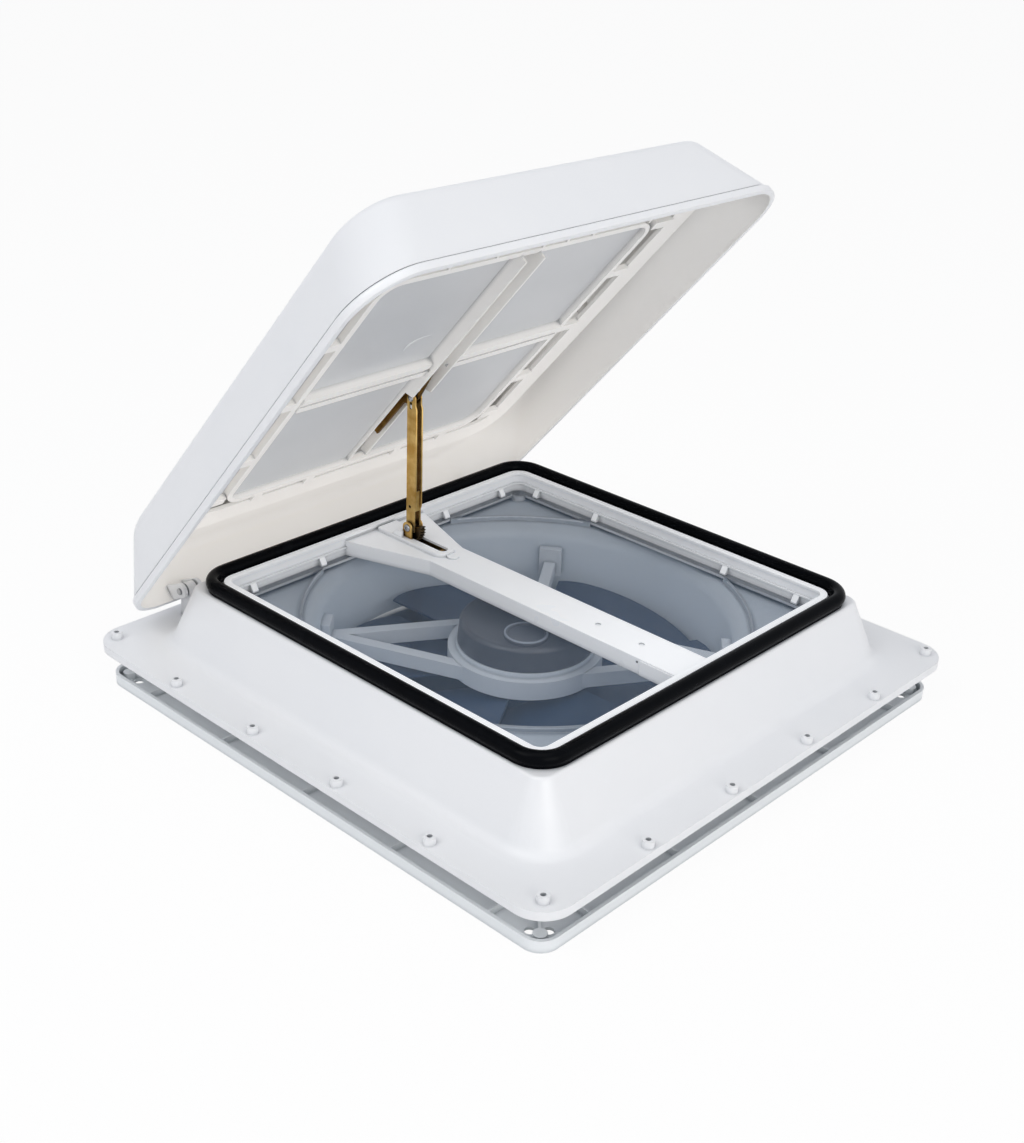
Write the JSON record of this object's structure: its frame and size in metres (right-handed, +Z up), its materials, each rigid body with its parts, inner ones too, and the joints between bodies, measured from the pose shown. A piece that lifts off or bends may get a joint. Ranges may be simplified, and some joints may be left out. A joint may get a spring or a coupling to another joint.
{
  "type": "caravan roof vent",
  "caption": "Square caravan roof vent with a hinged dome lid on a worm-driven lift arm, rubber seal, insect screen, extractor fan and interior trim ring.",
  "frame": {"origin": "middle of the four corner roof screws, on the roof's outer face under the flange", "axes": "+X along the hinge, +Y toward the hinge, +Z up out of the roof"},
  "size_m": [0.447, 0.4623, 0.3849],
  "materials": {
    "white_plastic": "moulded white ABS, satin gloss",
    "seal_rubber": "black extruded rubber, satin",
    "screen_mesh": "fine grey glass-fibre insect screen",
    "yellow_zinc": "steel, yellow zinc plated",
    "bright_steel": "bright zinc plated steel",
    "dark_steel": "oiled dark steel",
    "grey_pane": "smoke grey translucent acrylic",
    "grey_plastic": "light grey polypropylene",
    "dark_plastic": "dark grey ABS",
    "fan_plastic": "smoke blue polypropylene"
  },
  "bodies": {
    "base": {"base_flange": "white_plastic", "lid_seal": "seal_rubber", "inner_frame": "white_plastic", "fly_screen": "screen_mesh", "cross_beam": "white_plastic", "lift_bracket": "yellow_zinc", "pivot_screw": "bright_steel", "lift_motor": "bright_steel", "hinge_pin_left": "bright_steel", "hinge_pin_right": "bright_steel", "fan_shroud": "grey_plastic", "fan_spider": "grey_plastic", "fan_motor": "dark_plastic", "motor_cap": "dark_plastic", "trim_ring": "white_plastic", "trim_screws": "bright_steel", "shroud_screws": "bright_steel", "lead_grommet": "seal_rubber"},
    "lid": {"lid_shell": "white_plastic", "lid_liner": "white_plastic", "lid_pane": "grey_pane", "lift_rail": "yellow_zinc", "rail_screws": "bright_steel"},
    "arm": {"lift_arm": "yellow_zinc", "arm_sector": "yellow_zinc", "arm_pin": "bright_steel"},
    "worm": {"worm_shaft": "dark_steel", "shaft_coupling": "dark_steel"},
    "rotor": {"fan_rotor": "fan_plastic", "rotor_nut": "bright_steel"}
  },
  "joints": [
    {"name": "lid_hinge", "type": "hinge", "parent": "base", "child": "lid", "pos_m": [0, 0.203, 0.029], "axis": [1, 0, 0], "range_deg": [0, 49]},
    {"name": "arm_pivot", "type": "hinge", "parent": "base", "child": "arm", "pos_m": [0, 0.121, 0.062], "axis": [1, 0, 0], "range_deg": [0, 90.7]},
    {"name": "worm_spin", "type": "hinge", "parent": "base", "child": "worm", "pos_m": [0, 0.1, 0.0455], "axis": [0, 1, 0], "range_deg": [0, 2720]},
    {"name": "fan_spin", "type": "hinge", "parent": "base", "child": "rotor", "pos_m": [0, 0, -0.0165], "axis": [0, 0, 1], "continuous": true}
  ],
  "couplings": [
    {"joint": "arm_pivot", "follows": "lid_hinge", "ratio": 1.85},
    {"joint": "worm_spin", "follows": "lid_hinge", "ratio": 55.5}
  ]
}
